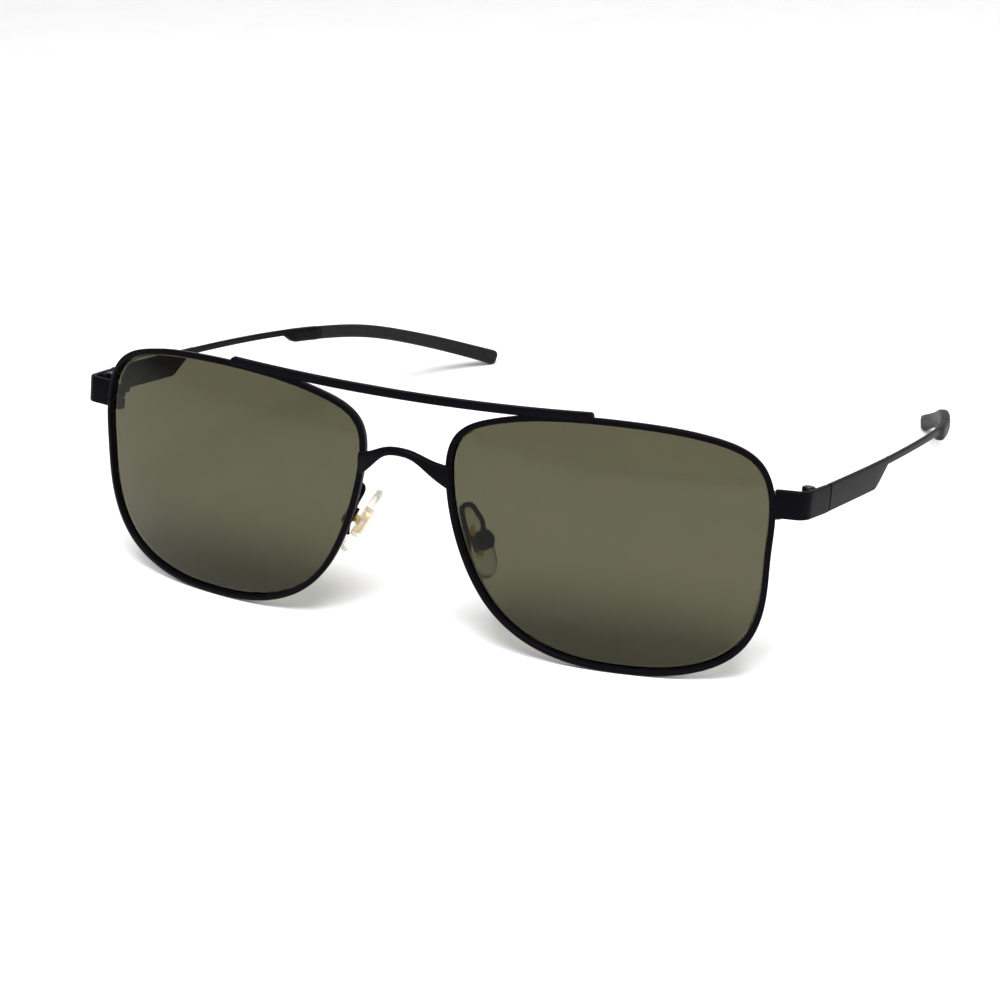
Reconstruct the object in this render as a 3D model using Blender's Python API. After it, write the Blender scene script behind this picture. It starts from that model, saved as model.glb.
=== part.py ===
"""Metal aviator sunglasses with a double bridge, open and standing on their rims and ear tips.

The glasses face -Y, +X is the wearer's left, and Z = 0 is the surface that they stand on.
Sizes are in millimetres and become metres where a mesh is made. Every piece of the wearer's
left half is described once, and its right-hand twin is the same description mirrored in X.
"""

import math

import bmesh
import bpy
import numpy as np
from mathutils import Vector

MM = 0.001
GAP = 0.08  # clearance between pieces that touch or are soldered together
BORE_SIDES = 12  # a small hole or screw is drawn with this many sides
THROUGH = 4.0  # a cutter reaches this far each way, past any small piece
TO_ORIGIN = (0.0, -72.1, 0.65)  # moves the model so that its box is centred in Y and stands on Z = 0

# Lens and rim
LENS_CENTRE = (37.3, -0.45, 22.63)
LENS_BASE_RADIUS = 101.0
FACE_WRAP = math.radians(6.96)
LEAN_BACK = math.radians(2.05)
LENS_THICKNESS = 1.4
LENS_SETBACK = 0.75  # the lens's front lies this far behind the rim's
RIM_WIDTH = 1.1
RIM_DEPTH = 1.8
GROOVE_SETBACK = 1.2  # from the rim's front to the middle of the groove
GROOVE_DEPTH = 0.45
GROOVE_HALF_WIDTH = 0.3
GROOVE_FLARE = 0.1  # the groove's mouth is this much wider each way than the ridge of the lens
# The rim's inner edge: degrees round the lens from the temple side, and distance from its centre.
RIM_SHAPE = (
    (4, 28.35), (20, 30.3), (33, 30.9), (46, 27.85),
    (66, 23.52), (92, 21.75), (120, 24.1), (138, 28.1),
    (150, 30.75), (164, 29.05), (190, 25.35), (220, 23.8),
    (250, 22.3), (285, 22.85), (310, 26.6), (325, 28.8),
)
RIM_STEPS = 72
LOCK_ANGLE = 18.5  # where the rim is split and held by its lock
RIM_SPLIT = 0.2
LOCK_OUT = 1.15  # the middle of the lock is this far out from the rim's inner edge
LOCK_SIZE = 2.1
LOCK_SCREW_RADIUS = 0.45
LOCK_HEAD_RADIUS = 0.8
LOCK_HEAD_TOP = 2.4  # above the split, along the screw
LOCK_HEAD_HEIGHT = 0.42

# Bars between the rims
BROW_HALF_LENGTH = 35.2
BROW_TOP = 44.8
BROW_RISE = 1.5
BROW_HEIGHT = 1.5
BROW_DEPTH = 1.4
BROW_Y = 2.58
BROW_ROUNDING = 0.7  # the outer top corners drop by this much
BRIDGE_Y = -1.2
BRIDGE_BOW = 0.03
# Half the bridge: distance from the middle, height of its centre line, half its height.
BRIDGE_SHAPE = ((0.0, 35.0, 0.78), (3.0, 34.4, 0.88), (6.0, 32.4, 1.5), (8.9, 30.6, 2.2))
BRIDGE_HALF_DEPTH = 0.8

# End piece, hinge and temple
STRAP_THICKNESS = 1.0
STRAP_HEIGHT = 4.8
STRAP_TOP = 35.2
STRAP_CORNER = (70.7, 10.35)
STRAP_CORNER_RADIUS = 2.0
STRAP_START = (65.6, 9.4)
STRAP_END = (71.62, 19.08)
TEMPLE_SLOPE = math.radians(9.6)
HINGE_AXIS = (69.4, 14.7, 31.95)
BARREL_RADIUS = 1.15
BARREL_HALF_HEIGHT = 2.4
BARREL_SIDES = 16
KNUCKLE_HALF_HEIGHT = 0.8
HINGE_BORE = 0.6
HINGE_HEAD_RADIUS = 0.85
HINGE_SEAT_DEPTH = 0.45  # the screw's head lies in a seat this deep
# Blocks of the hinge: the middle from the pin, and the size, each across, along the temple and up the pin.
HINGE_FOOT = ((0.5, -1.2, 0.0), (0.9, 2.2, 4.6))
HINGE_NECK = ((0.25, 1.4, 0.0), (1.4, 2.8, 1.5))
HINGE_LEAF = ((0.5, 4.5, -0.5), (1.9, 4.6, 3.2))
SEAM_Y = 19.2
# The temple's top edge from the seam to the ear: the middle of its thickness.
TEMPLE_EDGE = (
    (71.7, 19.2, 33.75), (72.7, 45.0, 29.42), (72.5, 70.0, 25.12), (69.8, 95.0, 20.42),
    (65.5, 110.0, 17.0), (61.6, 122.0, 12.7), (57.4, 134.0, 7.65), (51.3, 146.0, 2.0),
)
PLATE_HEIGHT = 4.7
PLATE_THICKNESS = 1.0
PLATE_END = (42.0, 48.0)  # the plate narrows to the strip between these
STRIP_HEIGHT = 1.25
STRIP_THICKNESS = 0.85
SHOULDER = (83.0, 88.0, 95.0)  # where it starts to rise, where it is full, and where it ends
SHOULDER_HEIGHT = 2.9
SHOULDER_THICKNESS = 2.0
CORE_END = 141.0
BORE_END = 141.6
SLEEVE_START = 95.3
SLEEVE_HEIGHTS = ((95.3, 2.75), (120.0, 2.8), (140.0, 3.1), (146.0, 3.3))
SLEEVE_WIDTHS = ((95.3, 2.05), (146.0, 2.4))
BORE_CLEARANCE = 0.22
TIP_SQUARENESS = 0.6  # 1 is an ellipse, and less is squarer

# Nose pads
PAD_CENTRE = (11.15, 6.4, 17.3)
PAD_LENGTH = 13.6
PAD_WIDTH = 7.0
PAD_HALF_THICKNESS = 0.95
PAD_FACE = (-0.844, 0.181, -0.506)  # out of the pad, towards the nose
PAD_ALONG = (-0.48, 0.175, 0.863)  # up the pad
BOX_OFFSET = 2.65
EYE_ALONG = -0.3  # the screw is a little below the middle of the pad
BOX_RADIUS = 1.8
BOX_HALF_DEPTH = 0.9
PAD_POCKET = (2.9, 1.75)
PAD_POCKET_DEPTH = 1.0
PAD_SQUARENESS = 0.85
PAD_NARROWING = 0.12
INSERT_HALF_THICKNESS = 0.3
TAB_HALF_WIDTH = 0.45
TAB_LENGTH = 1.4
PAD_SLOT = (1.2, 2.3, 2.7)  # the box's slot: across, along and into the pad's face
PAD_SLOT_OUT = 0.7
PAD_SCREW_RADIUS = 0.4
PAD_SCREW_HEAD = 0.6
ARM_RADIUS = 0.45
ARM_ROUTE = (
    (12.2, 1.7, 16.4), (12.0, 2.3, 18.4), (11.3, 2.95, 20.8), (10.3, 3.6, 23.2),
    (10.0, 4.4, 24.5), (10.8, 5.3, 24.8), (11.9, 5.9, 23.4), (12.9, 6.1, 21.6),
)


# Curves


def cubic(knots, values, closed_period=None):
    """A cubic spline through the values, as a function of the parameter; it closes over a given period."""
    t = np.array(knots, float)
    v = np.array(values, float)
    if closed_period:
        t = np.append(t, t[0] + closed_period)
        v = np.concatenate([v, v[:1]])
    n = len(t)
    step = np.diff(t)
    matrix = np.zeros((n, n))
    right = np.zeros((n,) + v.shape[1:])
    for i in range(1, n - 1):
        matrix[i, i - 1 : i + 2] = step[i - 1], 2 * (step[i - 1] + step[i]), step[i]
        right[i] = 6 * ((v[i + 1] - v[i]) / step[i] - (v[i] - v[i - 1]) / step[i - 1])
    if closed_period:
        matrix[0, [0, -1]] = 1, -1
        matrix[-1, [0, 1]] = 2 * step[0], step[0]
        matrix[-1, [-2, -1]] += step[-1], 2 * step[-1]
        right[-1] = 6 * ((v[1] - v[0]) / step[0] - (v[-1] - v[-2]) / step[-1])
    else:
        matrix[0, 0] = matrix[-1, -1] = 1
    bend = np.linalg.solve(matrix, right)

    def at(where):
        if closed_period:
            where = (where - t[0]) % closed_period + t[0]
        i = int(np.clip(np.searchsorted(t, where) - 1, 0, n - 2))
        a, b, h = t[i + 1] - where, where - t[i], step[i]
        return (
            (bend[i] * a**3 + bend[i + 1] * b**3) / (6 * h)
            + (v[i] / h - bend[i] * h / 6) * a
            + (v[i + 1] / h - bend[i + 1] * h / 6) * b
        )

    return at


def even(distances, values):
    """A spline that is the same on both sides of the middle."""
    knots = [-d for d in distances[:0:-1]] + list(distances)
    return cubic(knots, list(values[:0:-1]) + list(values))


def unit(vector):
    return np.array(vector, float) / np.linalg.norm(vector)


def turned(point, angle, axis):
    """The point turned about X (axis 0) or Z (axis 2)."""
    c, s = math.cos(angle), math.sin(angle)
    x, y, z = point
    if axis == 2:
        return np.array([c * x - s * y, s * x + c * y, z])
    return np.array([x, c * y - s * z, s * y + c * z])


# Building solids


def material(name, colour, roughness, metallic=0.0, transmission=0.0):
    made = bpy.data.materials.new(name)
    made.use_nodes = True
    shader = made.node_tree.nodes["Principled BSDF"]
    shader.inputs["Base Color"].default_value = (*colour, 1.0)
    shader.inputs["Roughness"].default_value = roughness
    shader.inputs["Metallic"].default_value = metallic
    shader.inputs["Transmission Weight"].default_value = transmission
    return made


def solid(name, bm, finish=None):
    """A named object from a bmesh in millimetres, its faces turned outwards."""
    bmesh.ops.recalc_face_normals(bm, faces=bm.faces)
    mesh = bpy.data.meshes.new(name)
    bm.to_mesh(mesh)
    bm.free()
    made = bpy.data.objects.new(name, mesh)
    bpy.context.scene.collection.objects.link(made)
    if finish:
        mesh.materials.append(finish)
        mesh.shade_smooth()
        mesh.set_sharp_from_angle(angle=math.radians(35))
    return made


def loft(rings, closed=False, bm=None):
    """Skins rings of equal numbers of points, capped at both ends unless the rings close on themselves."""
    bm = bm or bmesh.new()
    loops = [[bm.verts.new(Vector(point)) for point in ring] for ring in rings]
    pairs = list(zip(loops, loops[1:]))
    if closed:
        pairs.append((loops[-1], loops[0]))
    for one, two in pairs:
        for i in range(len(one)):
            j = (i + 1) % len(one)
            bm.faces.new((one[i], one[j], two[j], two[i]))
    if not closed:
        bm.faces.new(loops[0])
        bm.faces.new(loops[-1])
    return bm


def mirrored(rings, side):
    return [[(side * p[0], p[1], p[2]) for p in ring] for ring in rings]


def block(centre, axes, sizes):
    """The two rings of a box whose sizes run along the three axes."""
    x, y, z = (np.array(axis) * size / 2 for axis, size in zip(axes, sizes))
    c = np.array(centre)
    corners = ((-1, -1), (1, -1), (1, 1), (-1, 1))
    return [[c + level * z + sx * x + sy * y for sx, sy in corners] for level in (-1, 1)]


def turning(centre, axes, profile, sides=16):
    """The rings of a shape turned about the third axis, from (height, radius) pairs."""
    x, y, z = (np.array(axis) for axis in axes)
    turns = [2 * math.pi * (k + 0.5) / sides for k in range(sides)]
    return [
        [np.array(centre) + height * z + radius * (math.cos(a) * x + math.sin(a) * y) for a in turns]
        for height, radius in profile
    ]


def cylinder(centre, axes, low, high, radius, sides=BORE_SIDES):
    return turning(centre, axes, ((low, radius), (high, radius)), sides)


def combine(target, tool, operation):
    """Applies a Boolean of the tool to the target, and removes the tool."""
    change = target.modifiers.new("shape", "BOOLEAN")
    change.operation = operation
    change.solver = "EXACT"
    change.object = tool
    bpy.context.view_layer.update()
    graph = bpy.context.evaluated_depsgraph_get()
    mesh = bpy.data.meshes.new_from_object(target.evaluated_get(graph))
    mesh.name = target.name
    target.modifiers.clear()
    target.data = mesh
    bpy.data.objects.remove(tool)


def shaped(name, side, rings, finish, joined=(), cut=(), closed=False):
    """A piece lofted from rings, joined with some lofts and cut by others, on the given side."""
    made = solid(name, loft(mirrored(rings, side), closed), finish)
    for other in joined:
        combine(made, solid("tool", loft(mirrored(other, side))), "UNION")
    for other in cut:
        combine(made, solid("tool", loft(mirrored(other, side))), "DIFFERENCE")
    return made


def screw(side, name, finish, centre, axes, levels, radius, head):
    """A shank and a flat head; the levels are its lower end, the head's underside and the head's top."""
    low, under, top = levels
    profile = ((low, radius), (under, radius), (under, head), (top, head))
    return shaped(name, side, turning(centre, axes, profile, BORE_SIDES), finish)


# Lens and rim


rim_radius = cubic([angle for angle, _ in RIM_SHAPE], [radius for _, radius in RIM_SHAPE], 360.0)


def rim_outline(degrees):
    radius = rim_radius(degrees)
    angle = math.radians(degrees)
    return np.array([radius * math.cos(angle), radius * math.sin(angle)])


def on_lens(u, v, forward=0.0):
    """A point of the left lens's sphere: u towards the temple, v up, and forward along its normal."""
    depth = LENS_BASE_RADIUS - math.sqrt(LENS_BASE_RADIUS**2 - u * u - v * v)
    normal = np.array([u, depth - LENS_BASE_RADIUS, v]) / LENS_BASE_RADIUS
    point = turned(np.array([u, depth, v]) + forward * normal, FACE_WRAP, 2)
    return turned(point, -LEAN_BACK, 0) + np.array(LENS_CENTRE)


def rim_frame(degrees):
    """A point of the rim's inner edge, with the directions outwards from the lens, forwards, and round it."""
    u, v = rim_outline(degrees)
    here = on_lens(u, v)
    forward = unit(on_lens(u, v, 1.0) - here)
    onward = unit(on_lens(*rim_outline(degrees + 0.5)) - on_lens(*rim_outline(degrees - 0.5)))
    return here, unit(np.cross(onward, forward)), forward, onward


def rim_ring(degrees, section):
    """A section of (outward, forward) points at this place on the rim."""
    here, outward, forward, _ = rim_frame(degrees)
    return [here + a * outward + b * forward for a, b in section]


RIM_SECTION = (
    (0.0, 0.0),
    (RIM_WIDTH, 0.0),
    (RIM_WIDTH, -RIM_DEPTH),
    (0.0, -RIM_DEPTH),
    (0.0, -GROOVE_SETBACK - GROOVE_HALF_WIDTH - GROOVE_FLARE),
    (GROOVE_DEPTH, -GROOVE_SETBACK),
    (0.0, -GROOVE_SETBACK + GROOVE_HALF_WIDTH + GROOVE_FLARE),
)
RIM_ENVELOPE = (
    (-0.4, GAP),
    (RIM_WIDTH + GAP, GAP),
    (RIM_WIDTH + GAP, -RIM_DEPTH - GAP),
    (-0.4, -RIM_DEPTH - GAP),
)


def rim(side, name, finish):
    half_split = math.degrees(RIM_SPLIT / 2 / rim_radius(LOCK_ANGLE))
    turns = np.linspace(LOCK_ANGLE + half_split, LOCK_ANGLE + 360 - half_split, RIM_STEPS + 1)
    return shaped(name, side, [rim_ring(turn, RIM_SECTION) for turn in turns], finish)


def clear_of_rim(piece, side):
    """Cuts away what a piece would share with the rim that it is soldered to."""
    turns = np.linspace(0, 360, RIM_STEPS, endpoint=False) + LOCK_ANGLE
    rings = [rim_ring(turn, RIM_ENVELOPE) for turn in turns]
    combine(piece, solid("tool", loft(mirrored(rings, side), closed=True)), "DIFFERENCE")


def lens(side, name, finish):
    """A spherical shell whose edge is bevelled to a ridge that sits in the rim's groove."""
    front = -LENS_SETBACK
    back = front - LENS_THICKNESS
    turns = np.linspace(0, 360, RIM_STEPS, endpoint=False) + LOCK_ANGLE

    def face(share, forward):
        return [on_lens(*(share * rim_outline(turn)), forward) for turn in turns]

    edge = -GAP / 2
    ridge = GROOVE_DEPTH - 2 * GAP
    middle = -GROOVE_SETBACK
    rings = [face(share, front) for share in (0.3, 0.7)]
    rings.append([rim_ring(turn, [(edge, front)])[0] for turn in turns])
    rings.append([rim_ring(turn, [(edge, middle + GROOVE_HALF_WIDTH)])[0] for turn in turns])
    rings.append([rim_ring(turn, [(ridge, middle)])[0] for turn in turns])
    rings.append([rim_ring(turn, [(edge, middle - GROOVE_HALF_WIDTH)])[0] for turn in turns])
    rings.append([rim_ring(turn, [(edge, back)])[0] for turn in turns])
    rings += [face(share, back) for share in (0.7, 0.3)]
    return shaped(name, side, rings, finish)


# Rim lock


def lock_axes():
    here, outward, forward, onward = rim_frame(LOCK_ANGLE)
    centre = here + LOCK_OUT * outward - (RIM_DEPTH + GAP + LOCK_SIZE / 2) * forward
    return centre, (outward, forward, onward)


def lock_half(side, name, half, finish):
    """Half of the block behind the rim; half is 1 for the upper and -1 for the lower."""
    centre, axes = lock_axes()
    middle = centre + half * (RIM_SPLIT + LOCK_SIZE) / 2 * axes[2]
    bore = cylinder(centre, axes, -THROUGH, THROUGH, LOCK_SCREW_RADIUS + GAP)
    seat_floor = LOCK_HEAD_TOP - LOCK_HEAD_HEIGHT - GAP
    seat = cylinder(centre, axes, seat_floor, THROUGH, LOCK_HEAD_RADIUS + GAP)
    made = shaped(name, side, block(middle, axes, [LOCK_SIZE] * 3), finish, cut=[bore, seat])
    clear_of_rim(made, side)
    return made


def lock_screw(side, name, finish):
    centre, axes = lock_axes()
    levels = (-LOCK_SIZE, LOCK_HEAD_TOP - LOCK_HEAD_HEIGHT, LOCK_HEAD_TOP)
    return screw(side, name, finish, centre, axes, levels, LOCK_SCREW_RADIUS, LOCK_HEAD_RADIUS)


# Brow bar and bridge


def brow_bar(finish):
    """A straight strip that curves down slightly to the middle, with rounded outer top corners."""
    stations = np.concatenate([[-1.0, -0.992, -0.975], np.linspace(-0.95, 0.95, 21), [0.975, 0.992, 1.0]])
    rings = []
    for s in stations:
        top = BROW_TOP + BROW_RISE * s * s
        rounding = max(0.0, abs(s) - 0.95) / 0.05
        rounded = top - BROW_ROUNDING * (1 - math.sqrt(max(0.0, 1 - rounding**2)))
        low = top - BROW_HEIGHT
        x = s * BROW_HALF_LENGTH
        back, front = BROW_Y + BROW_DEPTH / 2, BROW_Y - BROW_DEPTH / 2
        rings.append([(x, front, low), (x, back, low), (x, back, rounded), (x, front, rounded)])
    made = shaped("brow_bar", 1, rings, finish)
    for side in (1, -1):
        clear_of_rim(made, side)
    return made


def bridge(finish):
    """The arched wire between the rims, flattened and widened where it meets them."""
    distances, heights, halves = zip(*BRIDGE_SHAPE)
    height, half = even(distances, heights), even(distances, halves)
    rings = []
    for x in np.linspace(-distances[-1], distances[-1], 25):
        y = BRIDGE_Y + BRIDGE_BOW * x * x
        ring = []
        for k in range(12):
            a = 2 * math.pi * k / 12
            ring.append((x, y + BRIDGE_HALF_DEPTH * math.cos(a), height(x) + half(x) * math.sin(a)))
        rings.append(ring)
    made = shaped("bridge", 1, rings, finish)
    for side in (1, -1):
        clear_of_rim(made, side)
    return made


# End piece and hinge


def strap_top(y):
    return STRAP_TOP - max(0.0, y - STRAP_CORNER[1]) * math.tan(TEMPLE_SLOPE)


HINGE_AXES = (
    np.array([1.0, 0.0, 0.0]),
    np.array([0.0, math.cos(TEMPLE_SLOPE), -math.sin(TEMPLE_SLOPE)]),
    np.array([0.0, math.sin(TEMPLE_SLOPE), math.cos(TEMPLE_SLOPE)]),
)


def hinge_block(place_and_size):
    place, size = place_and_size
    middle = np.array(HINGE_AXIS) + sum(step * axis for step, axis in zip(place, HINGE_AXES))
    return block(middle, HINGE_AXES, size)


def strap_path():
    """Plan points of the strap's middle line, with an arc at its corner, and the outward normal at each."""
    start, corner, end = (np.array(p) for p in (STRAP_START, STRAP_CORNER, STRAP_END))
    before, after = unit(corner - start), unit(end - corner)
    half_turn = math.acos(np.clip(before @ after, -1, 1)) / 2
    reach = STRAP_CORNER_RADIUS * math.tan(half_turn)
    centre = corner - reach * before + STRAP_CORNER_RADIUS * np.array([-before[1], before[0]])
    points = [(start, before)]
    for k in range(7):
        turn = 2 * half_turn * k / 6
        heading = np.array([
            before[0] * math.cos(turn) - before[1] * math.sin(turn),
            before[0] * math.sin(turn) + before[1] * math.cos(turn),
        ])
        points.append((centre + STRAP_CORNER_RADIUS * np.array([heading[1], -heading[0]]), heading))
    points.append((end, after))
    return [(point, np.array([heading[1], -heading[0]])) for point, heading in points]


def end_piece(side, name, finish):
    """The strap from the rim's side round the corner to the seam with the temple."""
    rings = []
    up = HINGE_AXES[2]
    for point, outward in strap_path():
        top = np.array([point[0], point[1], strap_top(point[1])])
        thick = np.array([outward[0], outward[1], 0.0]) * STRAP_THICKNESS / 2
        low = top - up * STRAP_HEIGHT
        rings.append([top - thick, top + thick, low + thick, low - thick])
    made = shaped(name, side, rings, finish)
    clear_of_rim(made, side)
    return made


def front_hinge(side, name, finish):
    """Two knuckles on a foot soldered to the inside of the end piece."""
    pin = np.array(HINGE_AXIS)
    high, room = BARREL_HALF_HEIGHT, KNUCKLE_HALF_HEIGHT + GAP
    barrel = cylinder(pin, HINGE_AXES, -high, high, BARREL_RADIUS, BARREL_SIDES)
    foot = hinge_block(HINGE_FOOT)
    window = cylinder(pin, HINGE_AXES, -room, room, BARREL_RADIUS + GAP, BARREL_SIDES)
    bore = cylinder(pin, HINGE_AXES, -THROUGH, THROUGH, HINGE_BORE)
    seat = cylinder(pin, HINGE_AXES, high - HINGE_SEAT_DEPTH, THROUGH, HINGE_HEAD_RADIUS + GAP)
    return shaped(name, side, barrel, finish, joined=[foot], cut=[window, bore, seat])


def temple_hinge(side, name, finish):
    """The middle knuckle and the leaf behind it, soldered to the inside of the temple."""
    pin = np.array(HINGE_AXIS)
    half = KNUCKLE_HALF_HEIGHT
    knuckle = cylinder(pin, HINGE_AXES, -half, half, BARREL_RADIUS, BARREL_SIDES)
    neck, leaf = hinge_block(HINGE_NECK), hinge_block(HINGE_LEAF)
    bore = cylinder(pin, HINGE_AXES, -THROUGH, THROUGH, HINGE_BORE)
    return shaped(name, side, knuckle, finish, joined=[neck, leaf], cut=[bore])


def hinge_screw(side, name, finish):
    high = BARREL_HALF_HEIGHT
    levels = (-high, high - HINGE_SEAT_DEPTH + GAP, high + GAP / 2)
    shank = HINGE_BORE - GAP
    return screw(side, name, finish, np.array(HINGE_AXIS), HINGE_AXES, levels, shank, HINGE_HEAD_RADIUS)


# Temple and its sleeve


temple_x = cubic([p[1] for p in TEMPLE_EDGE], [p[0] for p in TEMPLE_EDGE])
temple_z = cubic([p[1] for p in TEMPLE_EDGE], [p[2] for p in TEMPLE_EDGE])


def temple_frame(y):
    """A point of the temple's top edge, with the directions outwards, up and onward there."""
    here = np.array([temple_x(y), y, temple_z(y)])
    onward = unit([temple_x(y + 0.1) - temple_x(y - 0.1), 0.2, temple_z(y + 0.1) - temple_z(y - 0.1)])
    outward = unit(np.cross(onward, (0, 0, 1)))
    return here, outward, np.cross(outward, onward), onward


def temple_section(y, height, thickness, rise=0.0):
    here, outward, up, _ = temple_frame(y)
    top = here + rise * up
    low = here - height * up
    thick = outward * thickness / 2
    return [top - thick, top + thick, low + thick, low - thick]


def temple(side, name, finish):
    """The plate, the narrow strip behind it, the shoulder before the sleeve, and the core inside it."""
    first, last = PLATE_END
    rise, full, end = SHOULDER
    rings = [temple_section(y, PLATE_HEIGHT, PLATE_THICKNESS) for y in np.linspace(SEAM_Y, first, 6)]
    rings.append(temple_section(last, STRIP_HEIGHT, PLATE_THICKNESS))
    rings += [temple_section(y, STRIP_HEIGHT, STRIP_THICKNESS) for y in np.linspace(last + 0.3, rise, 7)]
    for k in range(1, 6):
        share = (1 - math.cos(math.pi * k / 5)) / 2
        rings.append(temple_section(
            rise + (full - rise) * k / 5,
            STRIP_HEIGHT + (SHOULDER_HEIGHT - STRIP_HEIGHT) * share,
            STRIP_THICKNESS + (SHOULDER_THICKNESS - STRIP_THICKNESS) * share,
        ))
    rings.append(temple_section((full + end) / 2, SHOULDER_HEIGHT, SHOULDER_THICKNESS))
    rings.append(temple_section(end, SHOULDER_HEIGHT, SHOULDER_THICKNESS))
    core_low = (SHOULDER_HEIGHT + STRIP_HEIGHT) / 2
    core_top = -(SHOULDER_HEIGHT - STRIP_HEIGHT) / 2
    for y in np.linspace(end + 0.01, CORE_END, 16):
        rings.append(temple_section(y, core_low, STRIP_THICKNESS, core_top))
    return shaped(name, side, rings, finish)


def squarish(angle, squareness):
    """A point of a rounded square of half size 1."""
    c, s = math.cos(angle), math.sin(angle)
    return math.copysign(abs(c) ** squareness, c), math.copysign(abs(s) ** squareness, s)


def sleeve_ring(y, half_height, half_width, sides=12):
    """A rounded section of the sleeve, centred where the core runs."""
    here, outward, up, _ = temple_frame(y)
    middle = here - SHOULDER_HEIGHT / 2 * up
    ring = []
    for k in range(sides):
        across, rise = squarish(2 * math.pi * (k + 0.5) / sides, TIP_SQUARENESS)
        ring.append(middle + across * half_width * outward + rise * half_height * up)
    return ring


def temple_tip(side, name, finish):
    """The rubber sleeve: bent down and in over the ear, with a bore for the core."""
    end = TEMPLE_EDGE[-1][1]
    bore_height = STRIP_HEIGHT / 2 + BORE_CLEARANCE
    bore_width = STRIP_THICKNESS / 2 + BORE_CLEARANCE
    rings = [sleeve_ring(y, bore_height, bore_width) for y in np.linspace(BORE_END, SLEEVE_START, 16)]
    heights, widths = (np.array(pairs).T for pairs in (SLEEVE_HEIGHTS, SLEEVE_WIDTHS))

    def outer(y, scale=1.0):
        return sleeve_ring(y, scale * np.interp(y, *heights) / 2, scale * np.interp(y, *widths) / 2)

    rings += [outer(y) for y in np.linspace(SLEEVE_START, end - 0.8, 20)]
    rings += [outer(end - 0.25, 0.93), outer(end, 0.7)]
    return shaped(name, side, rings, finish)


# Nose pads


def pad_axes():
    """Across the pad towards the back, along it upwards, and out of it towards the nose."""
    face = unit(PAD_FACE)
    along = unit(np.array(PAD_ALONG) - (PAD_ALONG @ face) * face)
    return np.cross(face, along), along, face


def pad_point(across, along, out):
    axes = pad_axes()
    return np.array(PAD_CENTRE) + across * axes[0] + along * axes[1] + out * axes[2]


def box_centre():
    return pad_point(0, EYE_ALONG, -BOX_OFFSET)


def screw_axes():
    """The pad's axes in the order that puts the screw along the third, across the pad."""
    across, along, face = pad_axes()
    return along, face, across


def pad_oval(half_length, half_width, out, sides=20):
    """An oval ring that is a little narrower towards the top of the pad."""
    ring = []
    for k in range(sides):
        a = 2 * math.pi * k / sides
        across, along = squarish(a, PAD_SQUARENESS)
        width = half_width * (1 - PAD_NARROWING * math.sin(a))
        ring.append(pad_point(across * width, along * half_length, out))
    return ring


def nose_pad(side, name, finish):
    """A soft crowned pad with a pocket in its back that holds the insert."""
    length, width, thick = PAD_LENGTH / 2, PAD_WIDTH / 2, PAD_HALF_THICKNESS
    floor = PAD_POCKET_DEPTH - thick
    rings = [
        pad_oval(0.45 * length, 0.45 * width, thick),
        pad_oval(0.82 * length, 0.8 * width, 0.75 * thick),
        pad_oval(0.97 * length, 0.96 * width, 0.25 * thick),
        pad_oval(length, width, -0.3 * thick),
        pad_oval(0.95 * length, 0.94 * width, -thick),
        pad_oval(PAD_POCKET[0], PAD_POCKET[1], -thick),
        pad_oval(PAD_POCKET[0], PAD_POCKET[1], floor),
    ]
    return shaped(name, side, rings, finish)


def pad_insert(side, name, finish):
    """The metal plate inside the pad and the eye that the pad screw passes through."""
    length, width = PAD_POCKET[0] - GAP, PAD_POCKET[1] - GAP
    top = PAD_POCKET_DEPTH - PAD_HALF_THICKNESS - GAP
    low = top - 2 * INSERT_HALF_THICKNESS
    plate = [pad_oval(length, width, out) for out in (low, top)]
    axes = pad_axes()
    reach = BOX_OFFSET + low + 0.55
    tab_sizes = (2 * TAB_HALF_WIDTH, TAB_LENGTH, reach + 0.2)
    tab = block(pad_point(0, EYE_ALONG, low + 0.1 - reach / 2), axes, tab_sizes)
    eye = cylinder(box_centre(), screw_axes(), -THROUGH / 2, THROUGH / 2, PAD_SCREW_RADIUS + GAP)
    return shaped(name, side, plate, finish, joined=[tab], cut=[eye])


def pad_box(side, name, finish):
    """A round cup at the end of the pad arm, slotted for the eye and drilled for the screw."""
    axes = pad_axes()
    deep = BOX_HALF_DEPTH
    profile = ((-deep, 0.8 * BOX_RADIUS), (-0.6 * deep, BOX_RADIUS), (deep, BOX_RADIUS))
    slot = block(box_centre() + PAD_SLOT_OUT * axes[2], axes, PAD_SLOT)
    bore = cylinder(box_centre(), screw_axes(), -THROUGH, THROUGH, PAD_SCREW_RADIUS + GAP)
    return shaped(name, side, turning(box_centre(), axes, profile), finish, cut=[slot, bore])


def pad_screw(side, name, finish):
    levels = (-BOX_RADIUS - 0.05, BOX_RADIUS + 0.1, BOX_RADIUS + 0.25)
    return screw(side, name, finish, box_centre(), screw_axes(), levels, PAD_SCREW_RADIUS, PAD_SCREW_HEAD)


def pad_arm(side, name, finish):
    """The bent wire from the back of the rim up, over and down to the pad box."""
    axes = pad_axes()
    end = box_centre() + (BOX_RADIUS - 0.2) * axes[1] - 0.2 * axes[2]
    points = [np.array(point) for point in ARM_ROUTE] + [end]
    spans = np.cumsum([0.0] + [np.linalg.norm(b - a) for a, b in zip(points, points[1:])])
    route = cubic(spans, points)
    rings = []
    for s in np.linspace(0, spans[-1], 25):
        heading = unit(route(min(s + 0.1, spans[-1])) - route(max(s - 0.1, 0.0)))
        across = unit(np.cross(heading, (0.3, 1.0, 0.2)))
        rise = np.cross(across, heading)
        turns = [2 * math.pi * k / 8 for k in range(8)]
        rings.append([route(s) + ARM_RADIUS * (math.cos(a) * across + math.sin(a) * rise) for a in turns])
    cup = cylinder(box_centre(), axes, -THROUGH, THROUGH, BOX_RADIUS + GAP, BARREL_SIDES)
    made = shaped(name, side, rings, finish, cut=[cup])
    clear_of_rim(made, side)
    return made


# Assembly


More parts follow.
